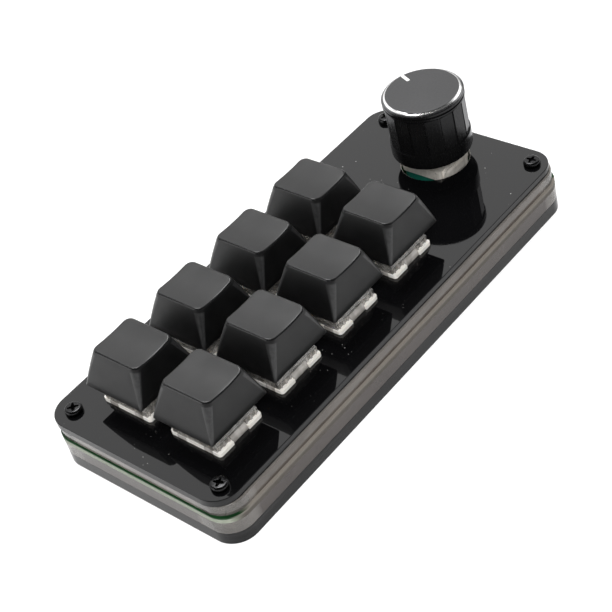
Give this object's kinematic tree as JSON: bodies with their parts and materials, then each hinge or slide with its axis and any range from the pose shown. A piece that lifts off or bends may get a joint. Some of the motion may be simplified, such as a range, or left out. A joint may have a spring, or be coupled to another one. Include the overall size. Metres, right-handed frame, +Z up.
{
  "type": "macro keypad",
  "caption": "Macro keypad with a block of square sprung keys and a push-to-click rotary knob on a bolted sandwich of black and clear acrylic sheets round a circuit board.",
  "frame": {"origin": "centre of the bottom sheet's underside, where the keypad rests on the desk", "axes": "+X along the case towards the knob, +Y towards the back edge with the socket, +Z up through the keys"},
  "size_m": [0.131, 0.0582, 0.0351],
  "materials": {
    "black_acrylic": "polished",
    "clear_acrylic": "clear, with polished cut edges",
    "board_green": "solder mask over woven glass",
    "black_steel": "black oxide",
    "standoff_metal": "nickel plated",
    "socket_steel": "stamped sheet",
    "chip_black": "moulded",
    "contact_metal": "tinned",
    "encoder_green": "moulded",
    "cover_steel": "stamped sheet",
    "switch_cream": "moulded",
    "switch_clear": "clear moulding",
    "stem_plastic": "moulded, milky and waxy",
    "spring_steel": "drawn wire",
    "keycap_black": "fine moulded texture",
    "knob_black": "black anodised aluminium with a bright turned bevel"
  },
  "bodies": {
    "case": {"bottom_plate": "black_acrylic", "lower_spacer": "clear_acrylic", "circuit_board": "board_green", "upper_spacer": "clear_acrylic", "top_plate": "black_acrylic", "top_screws": "black_steel", "standoffs": "standoff_metal", "bottom_screws": "black_steel", "usb_socket": "socket_steel", "controller_chip": "chip_black", "diodes": "chip_black", "contact_pins": "contact_metal", "encoder_base": "encoder_green", "encoder_pins": "contact_metal", "encoder_cover": "cover_steel", "switch_base_1": "switch_cream", "switch_base_2": "switch_cream", "switch_base_3": "switch_cream", "switch_base_4": "switch_cream", "switch_base_5": "switch_cream", "switch_base_6": "switch_cream", "switch_base_7": "switch_cream", "switch_base_8": "switch_cream", "switch_top_1": "switch_clear", "switch_top_2": "switch_clear", "switch_top_3": "switch_clear", "switch_top_4": "switch_clear", "switch_top_5": "switch_clear", "switch_top_6": "switch_clear", "switch_top_7": "switch_clear", "switch_top_8": "switch_clear", "spring_1": "spring_steel", "spring_2": "spring_steel", "spring_3": "spring_steel", "spring_4": "spring_steel", "spring_5": "spring_steel", "spring_6": "spring_steel", "spring_7": "spring_steel", "spring_8": "spring_steel"},
    "key_1": {"keycap_1": "keycap_black", "stem_1": "stem_plastic"},
    "key_2": {"keycap_2": "keycap_black", "stem_2": "stem_plastic"},
    "key_3": {"keycap_3": "keycap_black", "stem_3": "stem_plastic"},
    "key_4": {"keycap_4": "keycap_black", "stem_4": "stem_plastic"},
    "key_5": {"keycap_5": "keycap_black", "stem_5": "stem_plastic"},
    "key_6": {"keycap_6": "keycap_black", "stem_6": "stem_plastic"},
    "key_7": {"keycap_7": "keycap_black", "stem_7": "stem_plastic"},
    "key_8": {"keycap_8": "keycap_black", "stem_8": "stem_plastic"},
    "dial": {"encoder_rotor": "switch_cream"},
    "knob": {"encoder_shaft": "cover_steel", "knob_core": "chip_black", "knob_body": "knob_black"},
    "plunger": {"encoder_plunger": "chip_black"}
  },
  "joints": [
    {"name": "key_press_1", "type": "slide", "parent": "case", "child": "key_1", "axis": [0, 0, -1], "range_m": [0, 0.004], "stiffness_N_per_m": 80, "springref_m": -0.0037, "deforming": ["spring_1"]},
    {"name": "key_press_2", "type": "slide", "parent": "case", "child": "key_2", "axis": [0, 0, -1], "range_m": [0, 0.004], "stiffness_N_per_m": 80, "springref_m": -0.0037, "deforming": ["spring_2"]},
    {"name": "key_press_3", "type": "slide", "parent": "case", "child": "key_3", "axis": [0, 0, -1], "range_m": [0, 0.004], "stiffness_N_per_m": 80, "springref_m": -0.0037, "deforming": ["spring_3"]},
    {"name": "key_press_4", "type": "slide", "parent": "case", "child": "key_4", "axis": [0, 0, -1], "range_m": [0, 0.004], "stiffness_N_per_m": 80, "springref_m": -0.0037, "deforming": ["spring_4"]},
    {"name": "key_press_5", "type": "slide", "parent": "case", "child": "key_5", "axis": [0, 0, -1], "range_m": [0, 0.004], "stiffness_N_per_m": 80, "springref_m": -0.0037, "deforming": ["spring_5"]},
    {"name": "key_press_6", "type": "slide", "parent": "case", "child": "key_6", "axis": [0, 0, -1], "range_m": [0, 0.004], "stiffness_N_per_m": 80, "springref_m": -0.0037, "deforming": ["spring_6"]},
    {"name": "key_press_7", "type": "slide", "parent": "case", "child": "key_7", "axis": [0, 0, -1], "range_m": [0, 0.004], "stiffness_N_per_m": 80, "springref_m": -0.0037, "deforming": ["spring_7"]},
    {"name": "key_press_8", "type": "slide", "parent": "case", "child": "key_8", "axis": [0, 0, -1], "range_m": [0, 0.004], "stiffness_N_per_m": 80, "springref_m": -0.0037, "deforming": ["spring_8"]},
    {"name": "knob_spin", "type": "hinge", "parent": "case", "child": "dial", "pos_m": [0.0522, 0.001, 0], "axis": [0, 0, -1], "continuous": true},
    {"name": "knob_press", "type": "slide", "parent": "dial", "child": "knob", "axis": [0, 0, -1], "range_m": [0, 0.0005], "stiffness_N_per_m": 2000, "springref_m": -0.001},
    {"name": "plunger_press", "type": "slide", "parent": "case", "child": "plunger", "axis": [0, 0, -1], "range_m": [0, 0.0005]}
  ],
  "couplings": [
    {"joint": "plunger_press", "follows": "knob_press", "ratio": 1}
  ]
}
